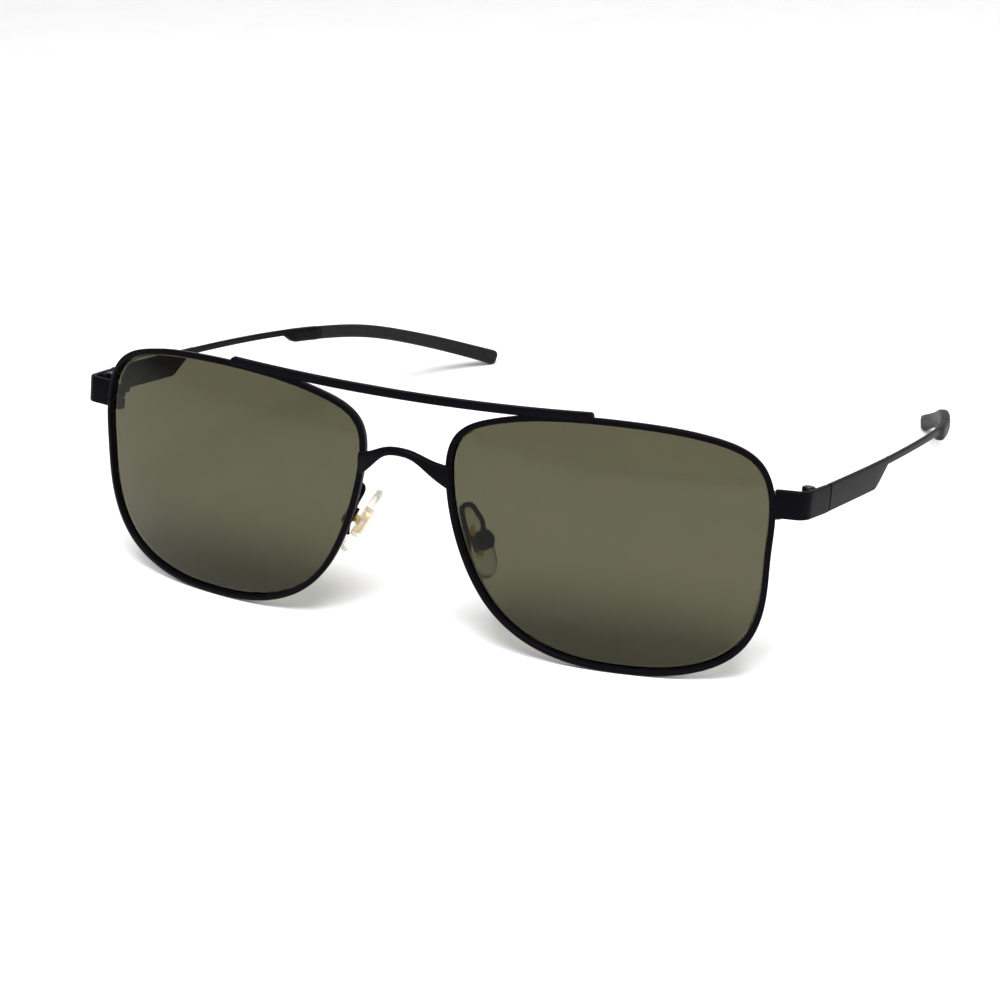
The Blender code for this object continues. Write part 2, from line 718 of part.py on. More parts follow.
def pivot(name, place, side):
    """An empty at a joint, given for the left side."""
    empty = bpy.data.objects.new(name, None)
    empty.location = (Vector((side * place[0], place[1], place[2])) + Vector(TO_ORIGIN)) * MM
    bpy.context.scene.collection.objects.link(empty)
    return empty


def hang(piece, parent):
    """Turns a piece from millimetres to metres and gives it the parent's place as its origin."""
    for vertex in piece.data.vertices:
        vertex.co = (vertex.co + Vector(TO_ORIGIN)) * MM - parent.location
    piece.parent = parent


def main():
    for old in list(bpy.data.objects):
        bpy.data.objects.remove(old)
    black = material("black_lacquer", (0.012, 0.012, 0.014), 0.42, 0.3)
    tint = material("grey_green_lens", (0.13, 0.13, 0.08), 0.05, 0.0, 0.6)
    clear = material("clear_pad", (0.85, 0.83, 0.78), 0.2, 0.0, 0.8)
    gold = material("gold_insert", (0.6, 0.42, 0.16), 0.3, 0.9)
    steel = material("dark_steel", (0.08, 0.08, 0.085), 0.35, 1.0)
    rubber = material("black_rubber", (0.014, 0.014, 0.015), 0.7)

    front = pivot("front", (0.0, 0.0, 0.0), 1)
    for piece in (brow_bar(black), bridge(black)):
        hang(piece, front)
    for side, which in ((1, "left"), (-1, "right")):
        fixed = [
            rim(side, "rim_" + which, black),
            lens(side, "lens_" + which, tint),
            lock_half(side, "rim_lock_upper_" + which, 1, black),
            lock_half(side, "rim_lock_lower_" + which, -1, black),
            lock_screw(side, "rim_lock_screw_" + which, steel),
            end_piece(side, "end_piece_" + which, black),
            front_hinge(side, "front_hinge_" + which, black),
            hinge_screw(side, "hinge_screw_" + which, steel),
            pad_arm(side, "pad_arm_" + which, black),
            pad_box(side, "pad_box_" + which, black),
            pad_screw(side, "pad_screw_" + which, steel),
        ]
        for piece in fixed:
            hang(piece, front)
        fold = pivot("temple_fold_" + which, HINGE_AXIS, side)
        for piece in (
            temple_hinge(side, "temple_hinge_" + which, black),
            temple(side, "temple_" + which, black),
            temple_tip(side, "temple_tip_" + which, rubber),
        ):
            hang(piece, fold)
        rock = pivot("pad_rock_" + which, box_centre(), side)
        for piece in (
            nose_pad(side, "nose_pad_" + which, clear),
            pad_insert(side, "pad_insert_" + which, gold),
        ):
            hang(piece, rock)


main()
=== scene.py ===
"""Looks for the metal aviator sunglasses: fine surfaces, materials, floor, light and camera.

Sizes are in millimetres in the design's own axes: +X is the wearer's left, the glasses face -Y
and +Z is up. They become metres in the shared frame where a piece is finished. Every piece is
described for the left side, and its right-hand twin is the same description mirrored in X.
"""

import math

import bmesh
import bpy
import numpy as np
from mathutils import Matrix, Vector


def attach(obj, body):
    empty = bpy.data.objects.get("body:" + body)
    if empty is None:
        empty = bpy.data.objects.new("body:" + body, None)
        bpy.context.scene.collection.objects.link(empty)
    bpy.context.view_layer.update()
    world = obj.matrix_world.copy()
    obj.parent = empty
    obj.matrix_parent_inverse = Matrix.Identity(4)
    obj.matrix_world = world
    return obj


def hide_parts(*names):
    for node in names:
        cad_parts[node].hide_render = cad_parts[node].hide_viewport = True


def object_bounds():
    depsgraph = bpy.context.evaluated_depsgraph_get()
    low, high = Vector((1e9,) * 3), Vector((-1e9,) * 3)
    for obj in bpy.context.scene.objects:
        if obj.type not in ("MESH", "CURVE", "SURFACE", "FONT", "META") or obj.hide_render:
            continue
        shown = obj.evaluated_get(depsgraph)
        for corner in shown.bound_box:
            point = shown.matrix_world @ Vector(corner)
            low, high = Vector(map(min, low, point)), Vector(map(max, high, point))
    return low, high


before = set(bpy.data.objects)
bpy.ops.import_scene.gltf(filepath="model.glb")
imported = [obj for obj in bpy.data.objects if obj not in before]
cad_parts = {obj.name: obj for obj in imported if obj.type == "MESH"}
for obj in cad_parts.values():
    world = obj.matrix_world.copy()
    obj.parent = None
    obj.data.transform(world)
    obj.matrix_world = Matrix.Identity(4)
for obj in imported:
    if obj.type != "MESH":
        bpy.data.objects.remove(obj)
cad_low, cad_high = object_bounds()

MM = 0.001
GAP = 0.08  # clearance between pieces that touch or are soldered together
TO_ORIGIN = (0.0, -72.1, 0.65)  # from the design's axes to the shared frame

# Lens and rim
LENS_CENTRE = (37.3, -0.45, 22.63)
LENS_BASE_RADIUS = 101.0
FACE_WRAP = math.radians(6.96)
LEAN_BACK = math.radians(2.05)
LENS_THICKNESS = 1.4
LENS_SETBACK = 0.75  # the lens's front lies this far behind the rim's
LENS_EDGE_GAP = 0.04
LENS_RIDGE = (0.28, 0.3)  # how far the edge's ridge stands out, and half its width
LENS_SHARP = 18  # degrees
RIM_WIDTH = 1.1
RIM_DEPTH = 1.8
GROOVE_SETBACK = 1.2  # from the rim's front to the middle of the groove
GROOVE_DEPTH = 0.45
GROOVE_HALF_WIDTH = 0.4
RIM_ROUNDING = (0.22, 0.34, 0.34, 0.15, 0, 0, 0)  # corner radii, as rim_section lists its corners
RIM_STATIONS = 300
LENS_STATIONS = 240
# The rim's inner edge: degrees round the lens from the temple side, and distance from its centre.
RIM_SHAPE = (
    (4, 28.35), (20, 30.3), (33, 30.9), (46, 27.85),
    (66, 23.52), (92, 21.75), (120, 24.1), (138, 28.1),
    (150, 30.75), (164, 29.05), (190, 25.35), (220, 23.8),
    (250, 22.3), (285, 22.85), (310, 26.6), (325, 28.8),
)
LOCK_ANGLE = 18.5  # where the rim is split and held by its lock
RIM_SPLIT = 0.2
LOCK_OUT = 1.15  # the middle of the lock is this far out from the rim's inner edge
LOCK_SIZE = 2.1
LOCK_FOOT = (1.7, 0.7)
LOCK_SHANK_RADIUS = 0.5
LOCK_HEAD_RADIUS = 0.82

# Bars between the rims
BROW_HALF_LENGTH = 35.2
BROW_TOP = 44.8
BROW_RISE = 1.5
BROW_HEIGHT = 1.5
BROW_DEPTH = 1.4
BROW_Y = 2.58
BROW_ROUNDING = 0.7  # the outer top corners drop by this much
BROW_ROUNDING_SHARE = 0.02  # of the half length, at each end
BRIDGE_Y = -1.2
BRIDGE_BOW = 0.03
# Half the bridge: distance from the middle, height of its centre line, half its height.
BRIDGE_SHAPE = ((0.0, 35.0, 0.78), (3.0, 34.4, 0.88), (6.0, 32.4, 1.5), (8.9, 30.6, 2.2))
BRIDGE_HALF_DEPTH = 0.8
BRIDGE_SQUARENESS = (0.98, 0.68)  # in the middle and at the ends: 1 is an ellipse, less is squarer

# End piece, hinge and temple
STRAP_THICKNESS = 1.0
STRAP_HEIGHT = 4.8
STRAP_TOP = 35.2
STRAP_CORNER = (70.7, 10.35)
STRAP_CORNER_RADIUS = 2.0
STRAP_START = (65.6, 9.4)
STRAP_END = (71.62, 19.1)
TEMPLE_SLOPE = math.radians(9.6)
HINGE_AXIS = (69.4, 14.7, 31.95)
STRAP_ROUNDING = 0.22
BARREL_RADIUS = 1.15
BARREL_HALF_HEIGHT = 2.4
KNUCKLE_HALF_HEIGHT = 0.8
HINGE_SHANK_RADIUS = 0.55
HINGE_HEAD_RADIUS = 0.9
HINGE_HEAD_RISE = 0.12
# Blocks of the hinge: the middle from the pin, and the size, each across, along the temple and up the pin.
HINGE_BACK = ((0.5, -1.8, 0.0), (0.85, 1.0, 4.6))
HINGE_ARM = ((0.5, -1.2), (0.9, 2.2))  # behind each front knuckle, without the height up the pin
HINGE_NECK = ((0.3, 1.4, 0.0), (1.4, 2.8, 1.55))
HINGE_LEAF = ((0.5, 4.5, -0.5), (1.9, 4.6, 3.2))
SEAM_Y = 19.2
# The temple's top edge from the seam to the ear: the middle of its thickness.
TEMPLE_EDGE = (
    (71.7, 19.2, 33.75), (72.7, 45.0, 29.42), (72.5, 70.0, 25.12), (69.8, 95.0, 20.42),
    (65.5, 110.0, 17.0), (61.6, 122.0, 12.7), (57.4, 134.0, 7.65), (51.3, 146.0, 2.0),
)
PLATE_HEIGHT = 4.7
PLATE_THICKNESS = 1.0
PLATE_ROUNDING = 0.2
PLATE_END = (42.0, 49.8)  # the plate narrows to nothing between these
STRIP_HEIGHT = 1.25
STRIP_THICKNESS = 0.85
STRIP_ROUNDING = 0.22
SHOULDER = (83.0, 88.0, 95.0)  # where it starts to rise, where it is full, and where it ends
SHOULDER_HEIGHT = 2.9
SHOULDER_THICKNESS = 2.0
SHOULDER_ROUNDING = 0.72
NECK_INSET = 0.35  # how much smaller the neck is that runs from the shoulder into the sleeve
SLEEVE_START = 95.3
SLEEVE_HEIGHTS = ((95.3, 2.75), (120.0, 2.8), (140.0, 3.1), (146.0, 3.3))
SLEEVE_WIDTHS = ((95.3, 2.05), (146.0, 2.4))
SLEEVE_SQUARENESS = 0.62
SLEEVE_LIP = ((0.0, 0.82), (0.05, 0.93), (0.2, 1.0))  # distance from the start, and scale
SLEEVE_CAP = (0.8, 0.38)  # the length of the rounded end, and how much it narrows

# Nose pads
PAD_CENTRE = (11.15, 6.4, 17.3)
PAD_LENGTH = 13.6
PAD_WIDTH = 7.0
PAD_HALF_THICKNESS = 0.95
PAD_FACE = (-0.844, 0.181, -0.506)  # out of the pad, towards the nose
PAD_ALONG = (-0.48, 0.175, 0.863)  # up the pad
PAD_SQUARENESS = 0.88
PAD_NARROWING = 0.12
PAD_POCKET = (2.9, 1.75)
PAD_POCKET_DEPTH = 1.0
BOX_OFFSET = 2.65
EYE_ALONG = -0.3  # the screw is a little below the middle of the pad
BOX_RADIUS = 1.8
BOX_HALF_DEPTH = 0.9
BOX_ROUNDING = 0.5
BOX_SLOT = (1.2, 2.3, 2.7)  # across, along and into the pad's face
BOX_SLOT_OUT = 0.7
INSERT_HALF_THICKNESS = 0.3
INSERT_ROUNDING = 0.08
TAB_HALF_WIDTH = 0.45
TAB_LENGTH = 1.4
PAD_SHANK_RADIUS = 0.4
PAD_HEAD_RADIUS = 0.6
PAD_HEAD_TOP = BOX_RADIUS + 0.16
ARM_RADIUS = 0.45
ARM_FOOT = (0.25, 2.5)  # how much thicker the wire is at its solder, and for how long
ARM_ROUTE = (
    (12.2, 1.7, 16.4), (12.0, 2.3, 18.4), (11.3, 2.95, 20.8), (10.3, 3.6, 23.2),
    (10.0, 4.4, 24.5), (10.8, 5.3, 24.8), (11.9, 5.9, 23.4), (12.9, 6.1, 21.6),
)

# View, in metres
SWEEP_START = 0.9  # the floor starts to curve up this far behind the object
SWEEP_RADIUS = 0.8
CAMERA_AZIMUTH = math.radians(25.424)
CAMERA_ELEVATION = math.radians(21.444)
CAMERA_DISTANCE = 0.46364
CAMERA_LENS = 97.17
CAMERA_TARGET = (0.01902, -0.0721, 0.02943)


# Curves


def cubic(knots, values, period=None):
    """A cubic spline through the values, as a function of the parameter."""
    t = np.array(knots, float)
    v = np.array(values, float)
    if period:
        t = np.append(t, t[0] + period)
        v = np.concatenate([v, v[:1]])
    n = len(t)
    step = np.diff(t)
    matrix = np.zeros((n, n))
    right = np.zeros((n,) + v.shape[1:])
    for i in range(1, n - 1):
        matrix[i, i - 1 : i + 2] = step[i - 1], 2 * (step[i - 1] + step[i]), step[i]
        right[i] = 6 * ((v[i + 1] - v[i]) / step[i] - (v[i] - v[i - 1]) / step[i - 1])
    if period:
        matrix[0, [0, -1]] = 1, -1
        matrix[-1, [0, 1]] = 2 * step[0], step[0]
        matrix[-1, [-2, -1]] += step[-1], 2 * step[-1]
        right[-1] = 6 * ((v[1] - v[0]) / step[0] - (v[-1] - v[-2]) / step[-1])
    else:
        matrix[0, 0] = matrix[-1, -1] = 1
    bend = np.linalg.solve(matrix, right)

    def at(where):
        if period:
            where = (where - t[0]) % period + t[0]
        i = int(np.clip(np.searchsorted(t, where) - 1, 0, n - 2))
        a, b, h = t[i + 1] - where, where - t[i], step[i]
        return (
            (bend[i] * a**3 + bend[i + 1] * b**3) / (6 * h)
            + (v[i] / h - bend[i] * h / 6) * a
            + (v[i + 1] / h - bend[i + 1] * h / 6) * b
        )

    return at


def even(distances, values):
    """A spline that is the same on both sides of the middle."""
    knots = [-d for d in distances[:0:-1]] + list(distances)
    return cubic(knots, list(values[:0:-1]) + list(values))


def unit(vector):
    return np.array(vector, float) / np.linalg.norm(vector)


def turned(point, angle, axis):
    """The point turned about X (axis 0) or Z (axis 2)."""
    c, s = math.cos(angle), math.sin(angle)
    x, y, z = point
    if axis == 2:
        return np.array([c * x - s * y, s * x + c * y, z])
    return np.array([x, c * y - s * z, s * y + c * z])


def squarish(angle, squareness):
    """A point of a rounded square of half size 1."""
    c, s = math.cos(angle), math.sin(angle)
    return math.copysign(abs(c) ** squareness, c), math.copysign(abs(s) ** squareness, s)


# Solids


def rounded(corners, radii, steps):
    """A closed outline whose corners are rounded, as a list of 2-D points."""
    out = []
    for i, (corner, radius) in enumerate(zip(corners, radii)):
        here = np.array(corner, float)
        before = unit(np.array(corners[i - 1], float) - here)
        after = unit(np.array(corners[(i + 1) % len(corners)], float) - here)
        if radius <= 0:
            out.append(here)
            continue
        half = math.acos(np.clip(before @ after, -1, 1)) / 2
        reach = radius / math.tan(half)
        centre = here + unit(before + after) * radius / math.sin(half)
        start, end = here + before * reach - centre, here + after * reach - centre
        for k in range(steps + 1):
            spoke = start * (1 - k / steps) + end * k / steps
            out.append(centre + unit(spoke) * radius)
    return out


def slab(width, height, radius, steps=4):
    """A rounded rectangle centred on 0."""
    w, h = width / 2, height / 2
    return rounded(((-w, -h), (w, -h), (w, h), (-w, h)), [radius] * 4, steps)


def skin(bm, rings, side):
    """Faces over rings of equal numbers of points, capped at both ends."""
    loops = [[bm.verts.new((side * p[0], p[1], p[2])) for p in ring] for ring in rings]
    for one, two in zip(loops, loops[1:]):
        for i in range(len(one)):
            j = (i + 1) % len(one)
            bm.faces.new((one[i], one[j], two[j], two[i]))
    bm.faces.new(loops[0])
    bm.faces.new(loops[-1])


def body_of(name, side, lofts):
    """An object in millimetres from one or more lofts."""
    bm = bmesh.new()
    for rings in lofts:
        skin(bm, rings, side)
    bmesh.ops.recalc_face_normals(bm, faces=bm.faces)
    mesh = bpy.data.meshes.new(name)
    bm.to_mesh(mesh)
    bm.free()
    made = bpy.data.objects.new(name, mesh)
    bpy.context.scene.collection.objects.link(made)
    return made


def block(centre, axes, sizes):
    """The two rings of a plain box whose sizes run along the three axes."""
    x, y, z = (np.array(axis) * size / 2 for axis, size in zip(axes, sizes))
    corners = ((-1, -1), (1, -1), (1, 1), (-1, 1))
    return [[centre + level * z + sx * x + sy * y for sx, sy in corners] for level in (-1, 1)]


def cut(target, side, rings):
    """Takes the shape that the rings skin away from the target."""
    tool = body_of("tool", side, [rings])
    change = target.modifiers.new("cut", "BOOLEAN")
    change.operation = "DIFFERENCE"
    change.solver = "EXACT"
    change.object = tool
    bpy.context.view_layer.update()
    graph = bpy.context.evaluated_depsgraph_get()
    mesh = bpy.data.meshes.new_from_object(target.evaluated_get(graph))
    target.modifiers.clear()
    target.data = mesh
    bpy.data.objects.remove(tool)


def placed(made, body, node, finish, sharp=38):
    """Brings a piece to metres in the shared frame, and hangs it on its body in place of its CAD node."""
    count = len(made.data.vertices)
    points = np.empty(count * 3, np.float32)
    made.data.vertices.foreach_get("co", points)
    points = (points.reshape(-1, 3) + np.array(TO_ORIGIN, np.float32)) * MM
    made.data.vertices.foreach_set("co", points.ravel())
    made.data.update()
    made.data.name = made.name
    made.data.materials.clear()
    made.data.materials.append(finish)
    made.data.shade_smooth()
    made.data.set_sharp_from_angle(angle=math.radians(sharp))
    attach(made, body)
    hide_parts(node)


def turning(centre, axes, profile, sides=40):
    """Rings turned about the third axis, from (height, radius) pairs."""
    x, y, z = axes
    turns = [2 * math.pi * (k + 0.5) / sides for k in range(sides)]
    return [
        [centre + height * z + radius * (math.cos(a) * x + math.sin(a) * y) for a in turns]
        for height, radius in profile
    ]


def barrel(centre, axes, low, high, radius, edge=0.12, sides=40):
    """A cylinder with rounded edges."""
    profile = [(low, radius - edge)]
    for k in range(1, 4):
        a = math.pi / 2 * k / 3
        profile.append((low + edge * (1 - math.cos(a)), radius - edge * (1 - math.sin(a))))
    profile += [(low + high - h, r) for h, r in profile[::-1]]
    return turning(centre, axes, profile, sides)


def brick(centre, axes, sizes, radius=0.2, steps=3):
    """A box whose edges are all rounded, as rings along the third axis."""
    x, y, z = axes
    half = sizes[2] / 2
    levels = []
    for k in range(steps + 1):
        a = math.pi / 2 * k / steps
        levels.append((-half + radius * (1 - math.cos(a)), radius * (1 - math.sin(a))))
    levels += [(-height, inset) for height, inset in levels[::-1]]
    rings = []
    for height, inset in levels:
        corner = max(radius - 0.6 * inset, 0.02)
        outline = slab(sizes[0] - 2 * inset, sizes[1] - 2 * inset, corner, steps)
        rings.append([centre + height * z + p[0] * x + p[1] * y for p in outline])
    return rings


def slotted(made, side, centre, axes, top, width, depth, length):
    """Cuts a screwdriver slot across a screw's head."""
    above = 1.0
    middle = centre + (top + (above - depth) / 2) * axes[2]
    cut(made, side, block(middle, axes, (length, width, depth + above)))


# Materials


def nodes_of(name):
    """A new material, its node tree and its shader."""
    made = bpy.data.materials.new(name)
    made.use_nodes = True
    tree = made.node_tree
    return made, tree, tree.nodes["Principled BSDF"]


def noise(tree, scale, detail, stretch=(1, 1, 1)):
    """Noise in the object's own space."""
    where = tree.nodes.new("ShaderNodeTexCoord")
    mapping = tree.nodes.new("ShaderNodeMapping")
    mapping.inputs["Scale"].default_value = stretch
    made = tree.nodes.new("ShaderNodeTexNoise")
    made.inputs["Scale"].default_value = scale
    made.inputs["Detail"].default_value = detail
    made.inputs["Roughness"].default_value = 0.6
    tree.links.new(where.outputs["Object"], mapping.inputs["Vector"])
    tree.links.new(mapping.outputs["Vector"], made.inputs["Vector"])
    return made.outputs["Fac"]


def ramp(tree, source, low, high):
    """Colours or greys between low and high over the middle of the source's range."""
    made = tree.nodes.new("ShaderNodeValToRGB")
    made.color_ramp.elements[0].position = 0.3
    made.color_ramp.elements[1].position = 0.7
    made.color_ramp.elements[0].color = (*low, 1.0)
    made.color_ramp.elements[1].color = (*high, 1.0)
    tree.links.new(source, made.inputs["Fac"])
    return made.outputs["Color"]


def bump(tree, shader, source, strength, distance):
    made = tree.nodes.new("ShaderNodeBump")
    made.inputs["Strength"].default_value = strength
    made.inputs["Distance"].default_value = distance
    tree.links.new(source, made.inputs["Height"])
    tree.links.new(made.outputs["Normal"], shader.inputs["Normal"])


def lacquer():
    """Satin black paint on metal: a fine orange-peel skin, slightly uneven gloss."""
    made, tree, shader = nodes_of("satin_black_lacquer")
    shader.inputs["Specular IOR Level"].default_value = 0.03
    shader.inputs["Specular Tint"].default_value = (1.0, 0.93, 0.94, 1.0)
    shader.inputs["Sheen Weight"].default_value = 0.05
    shader.inputs["Sheen Roughness"].default_value = 0.3
    shader.inputs["Sheen Tint"].default_value = (1.0, 0.82, 0.84, 1.0)
    colour = ramp(tree, noise(tree, 2400.0, 5.0), (0.0012, 0.0012, 0.002), (0.0024, 0.0022, 0.0036))
    tree.links.new(colour, shader.inputs["Base Color"])
    gloss = ramp(tree, noise(tree, 3200.0, 3.0), (0.4,) * 3, (0.47,) * 3)
    tree.links.new(gloss, shader.inputs["Roughness"])
    bump(tree, shader, noise(tree, 5200.0, 2.0), 0.25, 0.00002)
    return made


def rubber():
    """Matt black rubber with a fine moulded grain."""
    made, tree, shader = nodes_of("matt_black_rubber")
    shader.inputs["Specular IOR Level"].default_value = 0.14
    shader.inputs["Sheen Weight"].default_value = 0.06
    shader.inputs["Sheen Roughness"].default_value = 0.4
    shader.inputs["Sheen Tint"].default_value = (1.0, 0.86, 0.86, 1.0)
    colour = ramp(tree, noise(tree, 1500.0, 5.0), (0.0024, 0.0024, 0.003), (0.0052, 0.005, 0.0056))
    tree.links.new(colour, shader.inputs["Base Color"])
    gloss = ramp(tree, noise(tree, 700.0, 3.0), (0.6,) * 3, (0.75,) * 3)
    tree.links.new(gloss, shader.inputs["Roughness"])
    bump(tree, shader, noise(tree, 7000.0, 3.0), 0.4, 0.00003)
    return made


def tinted_glass(name, tint, roughness, ior, clarity, mottle):
    """Glass or clear plastic, tinted at each surface. Shadow and diffuse rays go straight through."""
    made, tree, shader = nodes_of(name)
    shader.inputs["Transmission Weight"].default_value = clarity
    shader.inputs["IOR"].default_value = ior
    low = tuple(c * (1 - mottle) for c in tint)
    colour = ramp(tree, noise(tree, 60.0, 3.0), low, tint)
    tree.links.new(colour, shader.inputs["Base Color"])
    shader.inputs["Roughness"].default_value = 0.0
    if roughness:
        gloss = ramp(tree, noise(tree, 300.0, 3.0), (roughness * 0.8,) * 3, (roughness * 1.3,) * 3)
        tree.links.new(gloss, shader.inputs["Roughness"])
    clear = tree.nodes.new("ShaderNodeBsdfTransparent")
    clear.inputs["Color"].default_value = (*(math.sqrt(c) for c in tint), 1.0)
    path = tree.nodes.new("ShaderNodeLightPath")
    straight = tree.nodes.new("ShaderNodeMath")
    straight.operation = "MAXIMUM"
    tree.links.new(path.outputs["Is Shadow Ray"], straight.inputs[0])
    tree.links.new(path.outputs["Is Diffuse Ray"], straight.inputs[1])
    mix = tree.nodes.new("ShaderNodeMixShader")
    tree.links.new(straight.outputs["Value"], mix.inputs["Fac"])
    tree.links.new(shader.outputs["BSDF"], mix.inputs[1])
    tree.links.new(clear.outputs["BSDF"], mix.inputs[2])
    tree.links.new(mix.outputs["Shader"], tree.nodes["Material Output"].inputs["Surface"])
    return made


def metal(name, low, high, rough_low, rough_high, stretch):
    """Bare metal with fine brushed marks."""
    made, tree, shader = nodes_of(name)
    shader.inputs["Metallic"].default_value = 1.0
    colour = ramp(tree, noise(tree, 1200.0, 4.0, stretch), low, high)
    tree.links.new(colour, shader.inputs["Base Color"])
    gloss = ramp(tree, noise(tree, 2500.0, 3.0, stretch), (rough_low,) * 3, (rough_high,) * 3)
    tree.links.new(gloss, shader.inputs["Roughness"])
    bump(tree, shader, noise(tree, 4000.0, 2.0, stretch), 0.2, 0.00001)
    return made


BLACK = lacquer()
RUBBER = rubber()
LENS = tinted_glass("grey_green_lens", (0.083, 0.080, 0.047), 0.0, 1.22, 1.0, 0.03)
PAD = tinted_glass("clear_soft_plastic", (0.96, 0.93, 0.86), 0.12, 1.38, 0.84, 0.05)
GOLD = metal("gold_insert", (0.52, 0.33, 0.07), (0.86, 0.62, 0.2), 0.18, 0.32, (1, 1, 8))
STEEL = metal("dark_steel", (0.05, 0.05, 0.053), (0.1, 0.1, 0.105), 0.28, 0.42, (1, 6, 1))


# Rims, lenses and lock


rim_radius = cubic([a for a, _ in RIM_SHAPE], [r for _, r in RIM_SHAPE], 360.0)


def rim_outline(degrees):
    radius = rim_radius(degrees)
    angle = math.radians(degrees)
    return np.array([radius * math.cos(angle), radius * math.sin(angle)])


def on_lens(u, v, forward=0.0):
    """A point of the left lens's sphere: u towards the temple, v up, forward along its normal."""
    depth = LENS_BASE_RADIUS - math.sqrt(LENS_BASE_RADIUS**2 - u * u - v * v)
    normal = np.array([u, depth - LENS_BASE_RADIUS, v]) / LENS_BASE_RADIUS
    point = turned(np.array([u, depth, v]) + forward * normal, FACE_WRAP, 2)
    return turned(point, -LEAN_BACK, 0) + np.array(LENS_CENTRE)


def rim_frame(degrees):
    """A point of the rim's inner edge, with the directions outwards from the lens, forwards, and round it."""
    u, v = rim_outline(degrees)
    here = on_lens(u, v)
    forward = unit(on_lens(u, v, 1.0) - here)
    onward = unit(on_lens(*rim_outline(degrees + 0.5)) - on_lens(*rim_outline(degrees - 0.5)))
    return here, unit(np.cross(onward, forward)), forward, onward


def rim_ring(degrees, section):
    """A section of (outward, forward) points at this place on the rim."""
    here, outward, forward, _ = rim_frame(degrees)
    return [here + a * outward + b * forward for a, b in section]


def rim_section():
    """The rim wire's section: rounded outside, with the groove that holds the lens."""
    corners = (
        (0.0, 0.0),
        (RIM_WIDTH, 0.0),
        (RIM_WIDTH, -RIM_DEPTH),
        (0.0, -RIM_DEPTH),
        (0.0, -GROOVE_SETBACK - GROOVE_HALF_WIDTH),
        (GROOVE_DEPTH, -GROOVE_SETBACK),
        (0.0, -GROOVE_SETBACK + GROOVE_HALF_WIDTH),
    )
    return rounded(corners, RIM_ROUNDING, 5)


def rim(side, which):
    half = math.degrees(RIM_SPLIT / 2 / rim_radius(LOCK_ANGLE))
    turns = np.linspace(LOCK_ANGLE + half, LOCK_ANGLE + 360 - half, RIM_STATIONS)
    rings = [rim_ring(turn, rim_section()) for turn in turns]
    made = body_of(which + "_rim", side, [rings])
    placed(made, "front", "rim_" + which, BLACK)


def lens(side, which):
    """A spherical shell with a bevelled ridge round its edge."""
    front = -LENS_SETBACK
    back = front - LENS_THICKNESS
    turns = np.linspace(0, 360, LENS_STATIONS, endpoint=False)

    def face(share, forward):
        return [on_lens(*(share * rim_outline(turn)), forward) for turn in turns]

    def edge(a, b):
        return [rim_ring(turn, [(a, b)])[0] for turn in turns]

    shares = (0.02, 0.15, 0.3, 0.45, 0.6, 0.72, 0.84, 0.93)
    corner = ((0.25, 0.0), (0.12, 0.0), (0.03, 0.04), (0.0, 0.1))  # inset and setback of its rounding
    out = -LENS_EDGE_GAP
    ridge, half_ridge = LENS_RIDGE
    rings = [face(share, front) for share in shares]
    rings += [edge(out - inset, front - setback) for inset, setback in corner]
    rings.append(edge(out, -GROOVE_SETBACK + half_ridge))
    rings.append(edge(ridge, -GROOVE_SETBACK))
    rings.append(edge(out, -GROOVE_SETBACK - half_ridge))
    rings += [edge(out - inset, back + setback) for inset, setback in corner[::-1]]
    rings += [face(share, back) for share in shares[::-1]]
    made = body_of(which + "_lens", side, [rings])
    placed(made, "front", "lens_" + which, LENS, LENS_SHARP)


def rim_lock(side, which):
    """Two halves of a block behind the rim, on each side of its split, and the screw that closes them."""
    here, outward, forward, onward = rim_frame(LOCK_ANGLE)
    centre = here + LOCK_OUT * outward - (RIM_DEPTH + GAP + LOCK_SIZE / 2) * forward
    axes = (outward, forward, onward)
    for name, half in (("upper", 1), ("lower", -1)):
        middle = centre + half * (RIM_SPLIT + LOCK_SIZE) / 2 * onward
        foot = middle + (LOCK_SIZE / 2 + 0.05) * forward
        lofts = [
            brick(middle, axes, (LOCK_SIZE, LOCK_SIZE, LOCK_SIZE), 0.3, 4),
            brick(foot - 0.1 * outward, axes, (*LOCK_FOOT, LOCK_SIZE - 0.3), 0.15),
        ]
        made = body_of(f"{which}_rim_lock_{name}", side, lofts)
        placed(made, "front", f"rim_lock_{name}_{which}", BLACK)
    top = LOCK_SIZE + RIM_SPLIT / 2
    lofts = [
        barrel(centre, axes, 0.1 - top, top - 0.2, LOCK_SHANK_RADIUS, 0.08, 24),
        barrel(centre, axes, top - 0.3, top + 0.3, LOCK_HEAD_RADIUS, 0.12, 32),
    ]
    made = body_of(which + "_rim_lock_screw", side, lofts)
    slotted(made, side, centre, axes, top + 0.3, 0.26, 0.25, 2.4)
    placed(made, "front", "rim_lock_screw_" + which, STEEL)


# Brow bar and bridge


def brow_bar():
    """A straight strip, a little lower in the middle, with rounded outer top corners."""
    soft = BROW_ROUNDING_SHARE
    ends = [1 - soft * (1 - math.sin(math.pi / 2 * k / 8)) for k in range(9)]
    stations = [-s for s in ends[::-1]] + list(np.linspace(-0.97, 0.97, 61)) + ends
    rings = []
    for s in stations:
        near = min(1.0, max(0.0, (abs(s) - 1 + soft) / soft))
        drop = BROW_ROUNDING * (1 - math.sqrt(max(0.0, 1 - near**2)))
        height = BROW_HEIGHT - drop
        inset = 0.25 * max(0.0, (near - 0.75) / 0.25) ** 2
        middle = BROW_TOP + BROW_RISE * s * s - drop - height / 2
        section = slab(BROW_DEPTH - 2 * inset, height - 2 * inset, 0.3 - 0.6 * inset)
        rings.append([(s * BROW_HALF_LENGTH, BROW_Y + a, middle + b) for a, b in section])
    placed(body_of("brow_strip", 1, [rings]), "front", "brow_bar", BLACK)


